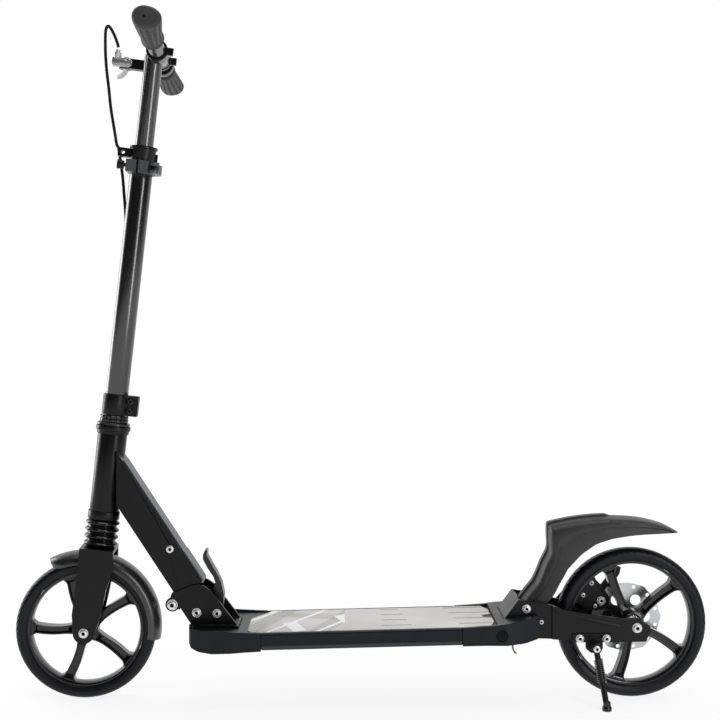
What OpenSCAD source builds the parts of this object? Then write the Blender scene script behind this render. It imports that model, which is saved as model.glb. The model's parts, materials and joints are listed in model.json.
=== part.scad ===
// Folding kick scooter with two large wheels, a sprung fork and a rear disc brake.
// Millimetres. The front points to -X, +Y is the rider's right, +Z is up.
// The origin is on the ground, midway between the two axles.

/* [Wheels] */
// Distance between the two axles
wheelbase = 750; // [746:1:754]
// Outer radius of the front tyre
front_r = 95; // [94:0.5:95.5]
// Outer radius of the rear tyre
rear_r = 102.5; // [101.5:0.5:103]
// Width of both tyres
tyre_w = 30; // [26:1:32]
// Number of spokes in a rim
spokes = 5; // [3:1:6]

/* [Steering] */
// Lean of the steering axis from vertical, in degrees
lean = 6.42; // [6.3:0.01:6.5]
// How far the bar is turned from straight as the scooter stands, in degrees
steer_rest = 4; // [0:1:6]
// Radius of the outer stem tube
stem_r = 15.5; // [15.2:0.1:15.8]
// Radius of the inner handlebar tube
inner_r = 12.5; // [12:0.1:12.6]
// Distance between the ends of the two grips
bar_w = 440; // [420:5:445]

/* [Deck] */
// Width of the standing deck
deck_w = 145; // [142:1:148]
// Thickness of the standing deck
deck_t = 23; // [22:0.5:24]
// How much the deck rises to the rear, in degrees
deck_rise = 1.4; // [1.2:0.1:1.6]

/* [Brake] */
// Radius of the rear brake disc
disc_r = 49; // [47:1:50]
// Thickness of the rear brake disc
disc_t = 2; // [1.8:0.1:2.2]

/* [Hidden] */
$fn = 96;
eps = 0.02;
run = 0.05;

// places shared by several pieces
rear_x = wheelbase / 2;
axle_z = rear_r;
axis_x = -380.07;
fork_rake = -6.1;
fork_axle_z = front_r - 0.09;
fold_x = -221;
fold_z = 121;
lever_x = -193.5;
lever_z = 120;
lock_x = -254;
lock_z = 132;
tube_lean = -33.1;
tube_front = -12.1;
tube_back = 27.9;
tube_half = 22;
plate_in = 22.3;
plate_out = 27;
deck_z = 105;
deck_front = -131;
deck_back = 137;
mat_half = 66.5;
mat_t = 1.3;
arm_in = 38;
arm_out = 42;
kick_x = 316;
kick_z = 80;
fender_x = 226;
fender_z = 128;
tee_z = 887.6;
brake_y = 62;
brake_x = -52;
bar_x = 6.4;
perch_z = 882.6;
cable_r = 2.2;

// route of the brake cable, in four runs of points chosen by hand
bar_route = [
    [-339.3, 52.9, 904.5], [-341.5, 53, 912], [-345, 53.5, 921], [-349.5, 54, 930],
    [-354, 54.5, 934.6], [-357.3, 54, 929], [-357.9, 53, 912], [-357, 50, 893], [-355, 47, 871],
    [-351.4, 43, 845.5], [-347.8, 39, 816.5], [-342.5, 34, 788], [-337.5, 27, 764]
];
stem_route = [
    [-335, 26, 760], [-332, 26, 740], [-329, 25, 718], [-327, 24, 695], [-325, 23, 670],
    [-324, 22, 640], [-325, 22, 605], [-327, 22, 570], [-330, 22, 530], [-333, 23, 490],
    [-336, 25, 455], [-338, 28, 425], [-339, 30, 395], [-340, 31, 365]
];
frame_route = [
    [-340, 31, 361], [-338, 31, 340], [-331, 29, 315], [-320, 28, 290], [-305, 28, 262],
    [-288, 28, 235], [-271, 29, 209], [-256, 30, 186], [-246, 31, 168], [-240, 33, 152]
];
deck_route = [
    [-239, 34, 148], [-234, 35, 135], [-225, 37, 122], [-214, 39, 110], [-202, 41, 99.4],
    [-188, 43, 93.6], [-170, 44, 91.4], [-145, 44, 91], [-110, 44, 92], [-70, 44, 93], [-30, 44, 94],
    [10, 44, 95], [50, 44, 96], [90, 44, 97], [130, 44, 97], [160, 46, 96], [185, 49, 95],
    [215, 53, 94], [240, 55, 95], [258, 55, 101], [272, 53, 112], [284, 51, 126], [296, 49, 140],
    [309, 47, 153], [322, 46, 163], [334, 46, 168], [342, 46, 168.5]
];

// a closed outline in X and Z, given a thickness from y0 to y1
module slab(points, y0, y1)
    translate([0, y1, 0]) rotate([90, 0, 0]) linear_extrude(y1 - y0) polygon(points);

module rod_y(x, z, r, y0, y1)
    translate([x, y1, z]) rotate([90, 0, 0]) cylinder(h = y1 - y0, r = r);

module sleeve_y(x, z, r_out, r_in, y0, y1)
    difference() {
        rod_y(x, z, r_out, y0, y1);
        rod_y(x, z, r_in, y0 - 1, y1 + 1);
    }

module ring_z(r_out, r_in, z0, z1)
    translate([0, 0, z0]) difference() {
        cylinder(h = z1 - z0, r = r_out);
        translate([0, 0, -1]) cylinder(h = z1 - z0 + 2, r = r_in);
    }

module rod_z(x, y, r, z0, z1)
    translate([x, y, z0]) cylinder(h = z1 - z0, r = r);

// both sides of the scooter
module both_sides() {
    children();
    mirror([0, 1, 0]) children();
}

// the steering axis: Z runs up the axis from the ground, and the bar lies along Y
module on_axis()
    translate([axis_x, 0, 0]) rotate([0, lean, 0]) rotate([0, 0, steer_rest]) children();

// the bar, a little behind the steering axis
module on_bar() on_axis() translate([bar_x, 0, 0]) children();

// the down tube: Z runs up the tube from the fold pin
module on_tube()
    translate([fold_x, 0, fold_z]) rotate([0, tube_lean, 0]) children();

// the standing deck: Z is 0 on its top face
module on_deck()
    translate([0, 0, deck_z]) rotate([0, -deck_rise, 0]) children();

function deck_top(x) = deck_z + x * tan(deck_rise);

// a round tube swept along a list of points
function unit(v) = v / norm(v);
function along(p, i) = unit(p[min(i + 1, len(p) - 1)] - p[max(i - 1, 0)]);
function side_of(t) = unit(cross(t, [0, 1, 0]));
function cable_rings(p, r, n) = [
    for (i = [0:len(p) - 1]) for (k = [0:n - 1])
        let (t = along(p, i), u = side_of(t), w = cross(t, u), a = 360 * k / n)
            p[i] + r * (u * cos(a) + w * sin(a))
];
function cable_sides(m, n) = [
    for (i = [0:m - 2]) for (k = [0:n - 1])
        [i * n + k, i * n + (k + 1) % n, (i + 1) * n + (k + 1) % n, (i + 1) * n + k]
];
module cable(p, r = cable_r, n = 8)
    polyhedron(
        points = cable_rings(p, r, n),
        faces = concat(
            cable_sides(len(p), n),
            [[for (k = [n - 1:-1:0]) k]],
            [[for (k = [0:n - 1]) (len(p) - 1) * n + k]]
        )
    );

// ---------------------------------------------------------------- wheels
tyre_half = tyre_w / 2;
tyre_deep = 17;
rim_deep = 21;
rim_half = 11.5;
hub_r = 17;
hub_half = 14;
bearing_r = 11;
bearing_t = 7;
axle_r = 4;
spoke_turn = 40;

module tyre(r)
    rotate([90, 0, 0]) rotate_extrude() polygon([
        [r - tyre_deep, -rim_half], [r - tyre_deep + 3, -rim_half - 2.4], [r - 8, -tyre_half],
        [r - 4, -tyre_half + 1.6], [r - 1, -tyre_half + 5], [r, -7],
        [r, 7], [r - 1, tyre_half - 5], [r - 4, tyre_half - 1.6],
        [r - 8, tyre_half], [r - tyre_deep + 3, rim_half + 2.4], [r - tyre_deep, rim_half]
    ]);

module spoke(rim_in)
    difference() {
        slab([[12, -6.4], [rim_in + 1, -8.4], [rim_in + 1, 8.4], [12, 6.4]], -9, 9);
        slab([[21, -3.8], [rim_in - 3, -5.6], [rim_in - 3, 5.6], [21, 3.8]], -10, -2);
        slab([[21, -3.8], [rim_in - 3, -5.6], [rim_in - 3, 5.6], [21, 3.8]], 2, 10);
    }

module rim(r, hub_far)
    difference() {
        union() {
            rotate([90, 0, 0]) rotate_extrude() polygon([
                [r - rim_deep, -rim_half], [r - tyre_deep, -rim_half],
                [r - tyre_deep, rim_half], [r - rim_deep, rim_half]
            ]);
            for (k = [0:spokes - 1]) rotate([0, -spoke_turn - k * 360 / spokes, 0])
                spoke(r - rim_deep);
            rod_y(0, 0, hub_r, -hub_half, hub_half);
            rod_y(0, 0, hub_r - 2, 0, hub_far);
        }
        rod_y(0, 0, axle_r + 3, -hub_half - 1, hub_far + 1);
        rod_y(0, 0, bearing_r, -hub_half - 1, -hub_half + bearing_t);
        rod_y(0, 0, bearing_r, hub_far - bearing_t, hub_far + 1);
    }

module bearing_pair(hub_far) {
    sleeve_y(0, 0, bearing_r, axle_r + run, -hub_half, -hub_half + bearing_t);
    sleeve_y(0, 0, bearing_r, axle_r + run, hub_far - bearing_t, hub_far);
}

module on_front_wheel() on_axis() translate([fork_rake, 0, fork_axle_z]) children();
module on_rear_wheel() translate([rear_x, 0, axle_z]) children();

module front_tyre() color([0.08, 0.08, 0.09]) on_front_wheel() tyre(front_r);
module front_rim() color([0.13, 0.13, 0.14]) on_front_wheel() rim(front_r, hub_half);
module front_bearings() color("silver") on_front_wheel() bearing_pair(hub_half);
module rear_tyre() color([0.08, 0.08, 0.09]) on_rear_wheel() tyre(rear_r);
module rear_rim() color([0.13, 0.13, 0.14]) on_rear_wheel() rim(rear_r, disc_y);
module rear_bearings() color("silver") on_rear_wheel() bearing_pair(disc_y);

disc_y = 29;
disc_holes = 12;
module brake_disc()
    color("silver") on_rear_wheel() {
        difference() {
            union() {
                rod_y(0, 0, disc_r - 1.5, disc_y, disc_y + disc_t);
                for (k = [0:disc_holes / 2 - 1]) rotate([0, k * 60, 0])
                    rod_y(disc_r - 12, 0, 12, disc_y, disc_y + disc_t);
            }
            rod_y(0, 0, hub_r - 5, disc_y - 1, disc_y + disc_t + 1);
            for (k = [0:disc_holes - 1]) rotate([0, k * 30 + 15, 0]) {
                rod_y(disc_r - 6, 0, 2.6, disc_y - 1, disc_y + disc_t + 1);
            }
            for (k = [0:disc_holes / 2 - 1]) rotate([0, k * 60, 0])
                rod_y(27, 0, 7.5, disc_y - 1, disc_y + disc_t + 1);
        }
        for (k = [0:3]) rotate([0, k * 90 + 45, 0])
            rod_y(hub_r - 3.4, 0, 1.3, disc_y + disc_t, disc_y + disc_t + 1.6);
    }

module axle_bolt(half_head, far_head) {
    rod_y(0, 0, axle_r, -half_head - 3, far_head + 3);
    difference() {
        rod_y(0, 0, 7, -half_head - 4.5, -half_head);
        rod_y(0, 0, 2.6, -half_head - 5, -half_head - 2);
    }
    rod_y(0, 0, 7, far_head, far_head + 5);
}

module rear_axle() color("silver") on_rear_wheel() axle_bolt(arm_out, arm_out);
module rear_spacers()
    color("silver") on_rear_wheel() {
        sleeve_y(0, 0, 6.4, axle_r + eps, -arm_in, -hub_half - 0.1);
        sleeve_y(0, 0, 6.4, axle_r + eps, disc_y + 0.1, arm_in);
    }

// ---------------------------------------------------------------- deck
end_gap = 0.6;
module deck_extrusion()
    color([0.10, 0.11, 0.12]) on_deck() difference() {
        translate([deck_front, 0, 0]) rotate([90, 0, 90])
            linear_extrude(deck_back - deck_front - end_gap)
            polygon([
                [-mat_half, 0], [-mat_half, mat_t], [-deck_w / 2 + 2, mat_t],
                [-deck_w / 2, mat_t - 2], [-deck_w / 2, -deck_t + 7], [-deck_w / 2 + 7, -deck_t],
                [deck_w / 2 - 7, -deck_t], [deck_w / 2, -deck_t + 7], [deck_w / 2, mat_t - 2],
                [deck_w / 2 - 2, mat_t], [mat_half, mat_t], [mat_half, 0]
            ]);
        for (y = [-46, -23, 0, 23, 46])
            translate([deck_front - 1, y - 10.2, -deck_t + 2.6])
                cube([deck_back - deck_front + 2, 20.4, deck_t - 5]);
    }

mat_front = -150;
mat_back = 182;
module deck_mat()
    color([0.72, 0.73, 0.75]) on_deck() linear_extrude(mat_t - 0.1) polygon([
        [mat_front + 6, -mat_half + 1], [mat_back - 8, -mat_half + 1], [mat_back, -40],
        [mat_back, -12], [mat_back - 12, -6], [mat_back - 12, 6], [mat_back, 12], [mat_back, 40],
        [mat_back - 8, mat_half - 1], [mat_front + 26, mat_half - 1], [mat_front, 20],
        [mat_front, -50]
    ]);

// the space that the mat, and what stands on it, needs above the caps
module mat_recess(x0, x1) on_deck() translate([x0, -mat_half, 0]) cube([x1 - x0, 2 * mat_half, 30]);

// plan of the front cap, drawn in by inset
function cap_half(inset) = [
    [-120, deck_w / 2 - inset], [-217, deck_w / 2 - inset], [-224 + 0.6 * inset, deck_w / 2 - 3 - inset],
    [-227 + inset, deck_w / 2 - 10.5 - inset], [-230 + inset, 35 - inset], [-231.5 + inset, 0]
];
module cap_plan(inset) {
    side = cap_half(inset);
    polygon(concat(side, [for (k = [4:-1:0]) [side[k][0], -side[k][1]]]));
}

cap_floor = 101.3;
module front_cap()
    color([0.12, 0.13, 0.14]) difference() {
        intersection() {
            slab([
                [-232, 108], [-160, 104.2], [deck_front, deck_top(deck_front) + mat_t],
                [deck_front, deck_top(deck_front) - deck_t], [-152, 77.6], [-172, 76],
                [-196, 75.5], [-213, 78.5], [-223, 83], [-228, 89], [-232, 92]
            ], -deck_w / 2, deck_w / 2);
            translate([0, 0, 50]) linear_extrude(80) cap_plan(0);
        }
        intersection() {
            slab([
                [-240, 97.4], [deck_front + 1, 97], [deck_front + 1, 85], [-160, 82],
                [-200, 80.5], [-216, 84], [-240, 93]
            ], -deck_w / 2, deck_w / 2);
            translate([0, 0, 60]) linear_extrude(60) cap_plan(5);
        }
        intersection() {
            translate([-240, -80, cap_floor]) cube([240 + mat_front, 160, 20]);
            translate([0, 0, 60]) linear_extrude(80) union() {
                cap_plan(4);
                translate([-240, -36]) square([40, 72]);
            }
        }
        mat_recess(mat_front - 1, deck_front + 1);
        translate([-208, 40, 105]) rotate([0, -50, 0]) cube([12, 12, 37], center = true);
    }

cap_back = 239;
module rear_cap()
    color([0.12, 0.13, 0.14]) difference() {
        intersection() {
            slab([
                [deck_back, deck_top(deck_back) + mat_t], [178, 112.5], [212, 117], [cap_back, 121],
                [cap_back + 3, 104], [cap_back, 90], [222, 87], [196, 85.8], [168, 86],
                [deck_back, deck_top(deck_back) - deck_t]
            ], -deck_w / 2, deck_w / 2);
            translate([0, 0, 50]) linear_extrude(90) polygon([
                [deck_back, -deck_w / 2], [196, -deck_w / 2], [216, -66], [cap_back + 4, -50],
                [cap_back + 4, 50], [216, 66], [196, deck_w / 2], [deck_back, deck_w / 2]
            ]);
        }
        mat_recess(deck_back - 1, mat_back + 2);
        translate([194.6, -arm_in - 0.4, 96]) cube([80, 2 * arm_in + 0.8, 40]);
        translate([deck_back - 1, -60, 90]) cube([45, 120, 14]);
        rod_y(189, 99, 8, -deck_w / 2 - 1, -deck_w / 2 + 9);
        translate([180, 41, 90]) cube([80, 23, 10]);
    }

// ---------------------------------------------------------------- fold joint
module fold_bracket()
    color([0.09, 0.09, 0.10]) union() {
        both_sides() difference() {
            union() {
                slab([
                    [-252, 148.5], [-238, 154], [-229, 158], [-218, 159.6], [-211, 157],
                    [-201, 150], [-164, cap_floor], [-226, cap_floor], [-243, 127], [-250, 124]
                ], plate_in, plate_out);
                rod_y(lock_x, lock_z, 9.5, plate_in, plate_out);
                slab([[-263.5, 132], [-252, 149.5], [-238, 150], [-244, 125]], plate_in, plate_out);
            }
            rod_y(fold_x, fold_z, 5 + eps, 0, 60);
            rod_y(lever_x, lever_z, 3 + eps, 0, 60);
            rod_y(lock_x, lock_z, 4 + eps, 0, 60);
        }
        translate([-225, -34, cap_floor]) cube([61, 68, 3]);
    }

module cross_pin(x, z, r, head_r, head_t) {
    rod_y(x, z, r, -plate_out - 1, plate_out + 1);
    both_sides() difference() {
        rod_y(x, z, head_r, plate_out, plate_out + head_t);
        rod_y(x, z, head_r * 0.45, plate_out + head_t - 1.5, plate_out + head_t + 1);
    }
}

module fold_pin() color("silver") cross_pin(fold_x, fold_z, 5, 6.6, 3.5);
module lock_pin()
    color("silver") {
        cross_pin(lock_x, lock_z, 4, 7.5, 6);
        cross_pin(lever_x, lever_z, 3, 6.2, 3.2);
    }

tube_top = 243;
module frame_tube()
    color([0.09, 0.09, 0.10]) difference() {
        union() {
            difference() {
                on_tube() slab([
                    [tube_front, 22], [9.5, 26], [tube_back, 28.5], [tube_back, tube_top],
                    [tube_front, 182]
                ], -tube_half, tube_half);
                on_tube() translate([tube_front + 2.6, -tube_half + 2.6, 10])
                    cube([tube_back - tube_front - 5.2, 2 * tube_half - 5.2, 165]);
            }
            on_tube() slab([
                [-9.4, 0], [tube_front, 20], [tube_front, 36], [8, 36], [9.4, 0]
            ], -tube_half, tube_half);
            on_tube() rod_y(0, 0, 9.4, -tube_half, tube_half);
            translate([axis_x, 0, 0]) rotate([0, lean, 0]) rod_z(0, 0, 20, 258.6, 365.3);
        }
        translate([axis_x, 0, 0]) rotate([0, lean, 0]) rod_z(0, 0, 17.5, 250, 380);
        on_tube() rod_y(0, 0, 5 + run, -60, 60);
        on_tube() rod_y(16, 92, 3 + eps, -60, 60);
    }

module tube_cover()
    color([0.30, 0.31, 0.33]) on_tube() union() {
        translate([tube_back, -17, 78]) cube([1.4, 34, 150]);
        translate([tube_back, -18, 31]) cube([2.2, 36, 47]);
    }

module tube_bolt()
    color("silver") on_tube() {
        rod_y(16, 92, 3, -tube_half - 1, tube_half + 1);
        both_sides() rod_y(16, 92, 5.6, tube_half, tube_half + 2.6);
    }

// S-shaped pedal of the fold lock
lever_half = 10;
module fold_lever()
    color([0.15, 0.15, 0.16]) difference() {
        union() {
            slab([
                [-194.5, 124], [-192.6, 133], [-200.8, 150], [-197.6, 159], [-200.4, 166.9],
                [-208.3, 178.7], [-214.5, 190.5], [-214.5, 197], [-211.5, 203.8], [-208.6, 203],
                [-209, 196], [-203, 184.7], [-195.2, 170.9], [-189.3, 158.4], [-185.6, 141.3],
                [-187.2, 125.4], [-188, 121]
            ], -lever_half, lever_half);
            rod_y(lever_x, lever_z, 6.4, -lever_half - 6, lever_half + 6);
        }
        rod_y(lever_x, lever_z, 3 + run, -60, 60);
    }

// ---------------------------------------------------------------- rear bracket
module rear_bracket()
    color([0.09, 0.09, 0.10]) difference() {
        union() {
            both_sides() {
                slab([
                    [195, 113], [215, 140], [240, 136.5], [259, 133], [270, 129], [270, 86.8],
                    [240.6, 87.6], [240.6, 96], [196, 96]
                ], arm_in - 4, arm_in);
                slab([[260, 132.7], [270, 129.2], [270, 86.9], [260, 87.2]], arm_in - 2, arm_in + 2);
                slab([
                    [261, 132], [276, 127], [299, 122], [360, 115], [375, 116], [392, 106],
                    [394, 98], [387, 84], [335, 83], [266, 86.9], [261, 87.2]
                ], arm_in, arm_out);
            }
            slab([[195, 113], [215, 140], [219, 138], [199.5, 112]], -arm_in + 1, arm_in - 1);
            slab([[196, 96], [238, 96], [238, 99], [199, 99], [198, 113], [195, 113]],
                -arm_in + 1, arm_in - 1);
        }
        rod_y(rear_x, axle_z, axle_r + eps, -60, 60);
        rod_y(fender_x, fender_z, 3 + eps, -60, 60);
        for (x = [297, 333]) rod_y(x, 89, 2.5 + eps, -60, 0);
        rod_y(246, 110, 2 + eps, -60, 60);
    }

module kickstand_bracket()
    color([0.10, 0.10, 0.11]) difference() {
        union() {
            slab([[288, 84], [342, 84], [342, 95], [288, 95]], -arm_out - 3.5, -arm_out);
            slab([[305, 86], [327, 86], [327, 76], [321, 71], [311, 71], [305, 76]],
                -arm_out - 9, -arm_out);
        }
        for (x = [297, 333]) rod_y(x, 89, 2.5 + eps, -70, -30);
        rod_y(kick_x, kick_z, 3 + eps, -70, -30);
    }

// every screw that holds the deck assembly together
module deck_bolts()
    color("silver") {
        for (x = [297, 333]) {
            rod_y(x, 89, 2.5, -arm_out - 4, -arm_in + 1);
            rod_y(x, 89, 6, -arm_out - 7, -arm_out - 3.5);
        }
        both_sides() rod_y(fender_x, fender_z, 6.2, arm_in, arm_in + 4);
        rod_y(fender_x, fender_z, 3, -arm_in - 1, arm_in + 1);
        both_sides() {
            rod_y(246, 110, 2, arm_in - 6, arm_in + 1);
            rod_y(246, 110, 3.4, arm_in, arm_in + 2.2);
        }
        rod_y(kick_x, kick_z, 3, -arm_out - 24, -arm_out + 0);
        rod_y(kick_x, kick_z, 5, -arm_out - 27, -arm_out - 24);
    }

// ---------------------------------------------------------------- rear brake
caliper_x = -36;
caliper_z = 24;
pad_gap = 0.6;
module caliper_body()
    color([0.08, 0.08, 0.09]) on_rear_wheel() difference() {
        union() {
            slab([[-62, 8], [-42, 11], [-26, 14], [-24, 28], [-34, 42], [-52, 48], [-70, 30]],
                disc_y + disc_t + 2.8, arm_in);
            slab([[-66, 24], [-54, 42], [-44, 56], [-54, 60], [-72, 38]], 20, arm_in);
            slab([[-70, 22], [-56, 12], [-42, 11], [-27, 14], [-24, 28], [-34, 44], [-46, 56],
                [-56, 60], [-72, 40]], 20, 26.4);
        }
        rod_y(0, 0, disc_r + 1.5, disc_y - 2.6, disc_y + disc_t + 2.6);
        rod_y(caliper_x, caliper_z, 7.2, 18, 60);
    }

module brake_pads()
    color([0.35, 0.30, 0.28]) on_rear_wheel() {
        rod_y(caliper_x, caliper_z, 7, disc_y + disc_t + pad_gap, arm_in);
        rod_y(caliper_x, caliper_z, 7, 22.6, disc_y - pad_gap);
    }

// lever of the caliper, pulled by the cable
module caliper_arm()
    color([0.12, 0.12, 0.13]) on_rear_wheel() union() {
        slab([[-42, 20], [-32, 19], [-6, 58], [-4, 67], [-11, 70], [-43, 29]],
            arm_out + 0.6, arm_out + 4.2);
        rod_y(caliper_x, caliper_z, 7, arm_out + 0.6, arm_out + 6);
    }

// ---------------------------------------------------------------- kickstand
leg_top = [317, -57.5, 76];
leg_foot = [327, -75, 9];
module kickstand_leg()
    color([0.10, 0.10, 0.11]) union() {
        sleeve_y(kick_x, kick_z, 7, 3 + run, -arm_out - 23.5, -arm_out - 9.3);
        leg_rod(leg_top, leg_foot, 4);
        leg_rod(leg_top + 0.16 * (leg_foot - leg_top), leg_top + 0.5 * (leg_foot - leg_top), 6.2);
    }

// a round rod from one point to another
module leg_rod(a, b, r) {
    d = b - a;
    translate(a) rotate([0, acos(d[2] / norm(d)), atan2(d[1], d[0])]) cylinder(h = norm(d), r = r);
}

module kickstand_foot()
    color([0.05, 0.05, 0.05]) difference() {
        translate([leg_foot[0] + 0.6, leg_foot[1] - 1, 0]) cylinder(h = 15, r = 6.5);
        leg_rod(leg_top, leg_foot, 4 + eps);
        leg_rod(leg_top, leg_top + 1.02 * (leg_foot - leg_top), 4 + eps);
    }

// ---------------------------------------------------------------- fenders
// outline of the rear fender seen from the side
fender_outline = [
    [239, 163], [258, 205], [257.6, 240], [293, 248], [316, 251], [345, 252], [392, 247],
    [417, 239.5], [437, 229], [423, 228], [386, 226], [358, 223], [321, 213], [302, 198.5],
    [283.5, 178.5], [272, 158], [264, 143], [250, 128], [236, 119], [216, 119], [216, 132],
    [228, 149]
];
fender_bore = [
    [244, 163], [262, 204], [262, 236], [293, 244.5], [316, 247.5], [345, 248.5], [391, 243.5],
    [415, 236.5], [440, 222], [440, 190], [340, 190], [284, 150], [268, 116], [240, 108],
    [236, 132]
];
module rear_fender()
    color([0.20, 0.20, 0.21]) difference() {
        union() {
            slab(fender_outline, -28, 28);
            rod_y(fender_x, fender_z, 9, -31, 31);
        }
        slab(fender_bore, -25.2, 25.2);
        rod_y(fender_x, fender_z, 3 + run, -60, 60);
        translate([150, -15, 209]) cube([118, 30, 25]);
        slab([[205, 100], [214, 140], [205, 150], [190, 150], [190, 100]], -40, 40);
    }

fender_r = 105.5;
fender_skirt = 17;
fender_mid = [-3, 0, 2];
module front_fender()
    color([0.16, 0.16, 0.17]) on_front_wheel() translate(fender_mid) difference() {
        union() {
            rotate([90, 0, 0]) rotate_extrude() polygon([
                [fender_r - fender_skirt, -23.5], [fender_r - 8, -23], [fender_r - 2.6, -18],
                [fender_r, -10], [fender_r, 10], [fender_r - 2.6, 18], [fender_r - 8, 23],
                [fender_r - fender_skirt, 23.5], [fender_r - fender_skirt, 21.1],
                [fender_r - 8.4, 20.7], [fender_r - 4.6, 16.6], [fender_r - 2.4, 9.4],
                [fender_r - 2.4, -9.4], [fender_r - 4.6, -16.6], [fender_r - 8.4, -20.7],
                [fender_r - fender_skirt, -21.1]
            ]);
            rod_z(-fork_rake - fender_mid[0], 0, 7, fender_r - 2.5, crown_base - fender_mid[2]);
        }
        slab([[0, 0], [-150, 235], [-150, -150], [150, -150], [150, -9]], -40, 40);
    }

// ---------------------------------------------------------------- fork and suspension
crown_base = 204.9 - fork_axle_z;
leg_in = 25;
leg_out = 34;
crown_top = 208.9;
module fork()
    color([0.09, 0.09, 0.10]) on_axis() difference() {
        union() {
            both_sides() {
                slab([
                    [-24, crown_top], [21.5, crown_top], [23.6, 182], [17.5, 156], [13.6, 118],
                    [8, 93], [-20, 93], [-24.4, 118], [-23.4, 157]
                ], leg_in, leg_out);
                rod_y(fork_rake, fork_axle_z, 14.5, leg_in, leg_out);
            }
            slab([[-24, 204.9], [-24, crown_top], [21.5, crown_top], [21.8, 204.9]],
                -leg_in - 1, leg_in + 1);
            rod_z(0, 0, 11.4, crown_top - 1, 330);
        }
        rod_y(fork_rake, fork_axle_z, axle_r + eps, -60, 60);
        rod_z(0, 0, 8.5, crown_top + 6, 340);
    }

module front_axle() color("silver") on_front_wheel() axle_bolt(leg_out, leg_out);
module front_spacers()
    color("silver") on_front_wheel() both_sides()
        sleeve_y(0, 0, 6.4, axle_r + eps, hub_half + 0.1, leg_in);

ridges = 4;
bellows_z = crown_top;
bellows_top = 247.4;
pitch = (bellows_top - bellows_z) / ridges;
module bellows()
    color([0.07, 0.07, 0.07]) on_axis() difference() {
        union() for (k = [0:ridges - 1]) translate([0, 0, bellows_z + k * pitch]) {
            cylinder(h = pitch / 2, r1 = 18.5, r2 = 23.5);
            translate([0, 0, pitch / 2]) cylinder(h = pitch / 2, r1 = 23.5, r2 = 18.5);
        }
        rod_z(0, 0, 16, bellows_z - 1, bellows_top + 1);
    }

spring_z = 330;
spring_top = 384;
module suspension_spring() color("silver") on_axis() ring_z(10.5, 8, spring_z, spring_top);

// ---------------------------------------------------------------- headset
module on_head() translate([axis_x, 0, 0]) rotate([0, lean, 0]) children();

module headset_cups()
    color([0.08, 0.08, 0.08]) on_head() {
        difference() {
            rod_z(0, 0, 21.5, 247.8, 258.6);
            rod_z(0, 0, 17.7, 247, 251);
            rod_z(0, 0, 18.5, 251, 260);
        }
        difference() {
            union() {
                rod_z(0, 0, 21.8, 365.3, 370);
                rod_z(0, 0, 23.5, 370, 376);
            }
            rod_z(0, 0, 16, 364, 372);
            rod_z(0, 0, 18.5, 369, 378);
        }
    }

module headset_bearings()
    color("silver") on_head() {
        ring_z(18.5, 14 + run, 251.3, 258.3);
        ring_z(18.5, 14 + run, 369.3, 375.6);
    }

module steerer_tube()
    color([0.25, 0.25, 0.26]) on_axis() difference() {
        union() {
            rod_z(0, 0, 14, 248.3, 425);
            rod_z(0, 0, 17.2, 248.3, 251);
        }
        rod_z(0, 0, 11.5, 247, 384);
    }

module headset_nuts()
    color([0.10, 0.10, 0.10]) on_axis() {
        difference() {
            rod_z(0, 0, 22.5, 376.4, 381);
            rod_z(0, 0, 14 + eps, 370, 390);
        }
        difference() {
            translate([0, 0, 381]) cylinder(h = 9.8, r = 19.6, $fn = 6);
            rod_z(0, 0, 14 + eps, 370, 395);
        }
    }

// ---------------------------------------------------------------- stem
stem_base = 391.6;
stem_end = 739.4;
module stem_tube() color([0.10, 0.10, 0.11]) on_axis() difference() {
    rod_z(0, 0, stem_r, stem_base, stem_end);
    rod_z(0, 0, 14 + run, stem_base - 1, stem_end + 1);
}

// a clamp ring with two ears that point along +X or, turned, elsewhere
module clamp_ring(r, z0, z1, reach, gap, ear_half, bolt_x, bolts)
    difference() {
        union() {
            rod_z(0, 0, r, z0, z1);
            translate([0, -ear_half, z0]) cube([reach, 2 * ear_half, z1 - z0]);
        }
        rod_z(0, 0, stem_r + eps, z0 - 1, z1 + 1);
        translate([0, -gap / 2, z0 - 1]) cube([reach + 1, gap, z1 - z0 + 2]);
        for (z = bolts) rod_y(bolt_x, z, 2.5 + eps, -30, 30);
    }

clamp_z = [398.5, 411.5];
clamp_ear = 9.5;
clamp_bolt_x = 20.5;
module stem_clamp()
    color([0.08, 0.08, 0.09]) on_axis()
        clamp_ring(18.2, stem_base, 419.4, 31, 4, clamp_ear, clamp_bolt_x, clamp_z);

module clamp_bolts()
    color("silver") on_axis() for (z = clamp_z) {
        rod_y(clamp_bolt_x, z, 2.5, -clamp_ear - 1, clamp_ear + 1.5);
        rod_y(clamp_bolt_x, z, 4.2, -clamp_ear - 3.6, -clamp_ear);
    }

module height_bush() color([0.2, 0.2, 0.2]) on_axis()
    ring_z(14, inner_r + run, 705, stem_end);

qr_z0 = 722.5;
qr_z1 = 739;
qr_x = 19;
qr_y = -24;
module height_collar()
    color([0.28, 0.29, 0.30]) on_axis() difference() {
        union() {
            rod_z(0, 0, 18.7, qr_z0, qr_z1);
            translate([-19, -30, qr_z0]) cube([30, 20, qr_z1 - qr_z0]);
        }
        rod_z(0, 0, stem_r + eps, qr_z0 - 1, qr_z1 + 1);
        translate([-5, -31, qr_z0 - 1]) cube([3, 20, qr_z1 - qr_z0 + 2]);
        translate([-30, qr_y, (qr_z0 + qr_z1) / 2]) rotate([0, 90, 0]) cylinder(h = 60, r = 2.5 + eps);
    }

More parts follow.
